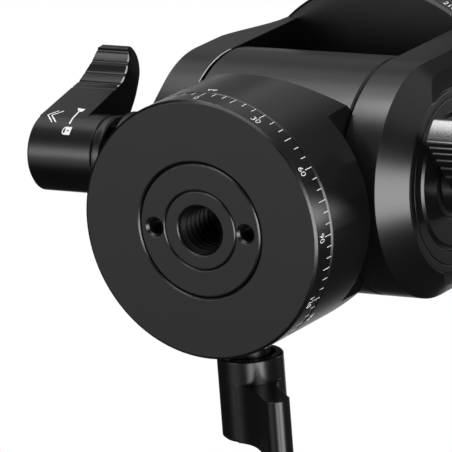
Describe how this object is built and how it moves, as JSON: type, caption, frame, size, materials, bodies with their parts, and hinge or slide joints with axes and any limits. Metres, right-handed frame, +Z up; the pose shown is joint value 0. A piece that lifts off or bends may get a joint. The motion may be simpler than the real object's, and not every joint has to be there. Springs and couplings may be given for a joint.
{
  "type": "fluid video head",
  "caption": "Compact fluid tripod head: round panning base, drum between two tilting yoke arms, lever locks and a panning dovetail plate clamp.",
  "frame": {"origin": "centre of the base's underside, where the tripod socket opens", "axes": "+Z up along the pan axis, X along the tilt axis with the drag lever at +X, -Y the front"},
  "size_m": [0.1075, 0.0743, 0.093],
  "materials": {
    "black_anodised_aluminium": "satin",
    "bright_steel": "machined",
    "brass": "machined",
    "white_acetal": "matte",
    "green_vial": "gloss"
  },
  "bodies": {
    "base": {"base_ring": "black_anodised_aluminium", "base_clamp_plate": "black_anodised_aluminium", "pan_spindle": "black_anodised_aluminium"},
    "pan_body": {"housing": "black_anodised_aluminium", "pan_thrust_washers": "white_acetal", "pan_retaining_ring": "bright_steel", "pan_lock_nose": "bright_steel", "tilt_shaft": "bright_steel", "shaft_grub_screw": "bright_steel", "tilt_friction_discs": "white_acetal", "drag_spring_washers": "bright_steel"},
    "pan_lock": {"pan_lever": "black_anodised_aluminium", "pan_lever_stud": "bright_steel", "pan_lever_cap": "bright_steel"},
    "pan_plug": {"pan_brake_plug": "brass"},
    "tilt_yoke": {"yoke": "black_anodised_aluminium", "tilt_damper_rotor": "brass", "tilt_bush": "brass", "flange_screws": "bright_steel", "left_end_cap": "black_anodised_aluminium", "right_end_cap": "black_anodised_aluminium", "pivot_post": "bright_steel", "pivot_screw": "bright_steel", "clamp_thrust_ring": "white_acetal"},
    "tilt_lock": {"lock_lever": "black_anodised_aluminium", "lock_thrust_washer": "bright_steel", "lock_lever_cap": "bright_steel"},
    "tilt_drag": {"drag_lever": "black_anodised_aluminium", "drag_lever_cap": "bright_steel"},
    "plate_clamp": {"clamp_base": "black_anodised_aluminium", "level_vial": "green_vial", "top_brake_plug": "brass"},
    "jaw": {"clamp_jaw": "black_anodised_aluminium", "guide_pins": "bright_steel"},
    "jaw_knob": {"clamp_knob": "black_anodised_aluminium", "clamp_screw": "bright_steel"},
    "top_lock": {"top_lock_knob": "black_anodised_aluminium", "top_lock_stud": "bright_steel"}
  },
  "joints": [
    {"name": "pan", "type": "hinge", "parent": "base", "child": "pan_body", "pos_m": [0, 0, 0], "axis": [0, 0, 1], "continuous": true},
    {"name": "tilt", "type": "hinge", "parent": "pan_body", "child": "tilt_yoke", "pos_m": [0, 0, 0.0445], "axis": [1, 0, 0], "range_deg": [-55, 90]},
    {"name": "tilt_lock_turn", "type": "hinge", "parent": "pan_body", "child": "tilt_lock", "pos_m": [-0.05, 0, 0.0445], "axis": [1, 0, 0], "range_deg": [-15, 75]},
    {"name": "tilt_drag_turn", "type": "hinge", "parent": "pan_body", "child": "tilt_drag", "pos_m": [0.04, 0, 0.0445], "axis": [1, 0, 0], "range_deg": [-45, 45]},
    {"name": "pan_lock_turn", "type": "hinge", "parent": "pan_body", "child": "pan_lock", "pos_m": [0, 0.03, 0.0145], "axis": [0, -1, 0], "range_deg": [0, 60]},
    {"name": "pan_plug_slide", "type": "slide", "parent": "pan_body", "child": "pan_plug", "axis": [0, -1, 0], "range_m": [0, 0.00017]},
    {"name": "clamp_pan", "type": "hinge", "parent": "tilt_yoke", "child": "plate_clamp", "pos_m": [0, 0, 0.0783], "axis": [0, 0, 1], "continuous": true},
    {"name": "jaw_slide", "type": "slide", "parent": "plate_clamp", "child": "jaw", "axis": [1, 0, 0], "range_m": [0, 0.0035]},
    {"name": "jaw_knob_turn", "type": "hinge", "parent": "jaw", "child": "jaw_knob", "pos_m": [0.035, 0, 0.0825], "axis": [1, 0, 0], "range_deg": [0, 1260]},
    {"name": "top_lock_turn", "type": "hinge", "parent": "plate_clamp", "child": "top_lock", "pos_m": [-0.034, 0, 0.0806], "axis": [1, 0, 0], "range_deg": [0, 180]}
  ],
  "couplings": [
    {"joint": "pan_plug_slide", "follows": "pan_lock_turn", "m_per_rad": 0.00015915},
    {"joint": "jaw_slide", "follows": "jaw_knob_turn", "m_per_rad": 0.00015915}
  ]
}
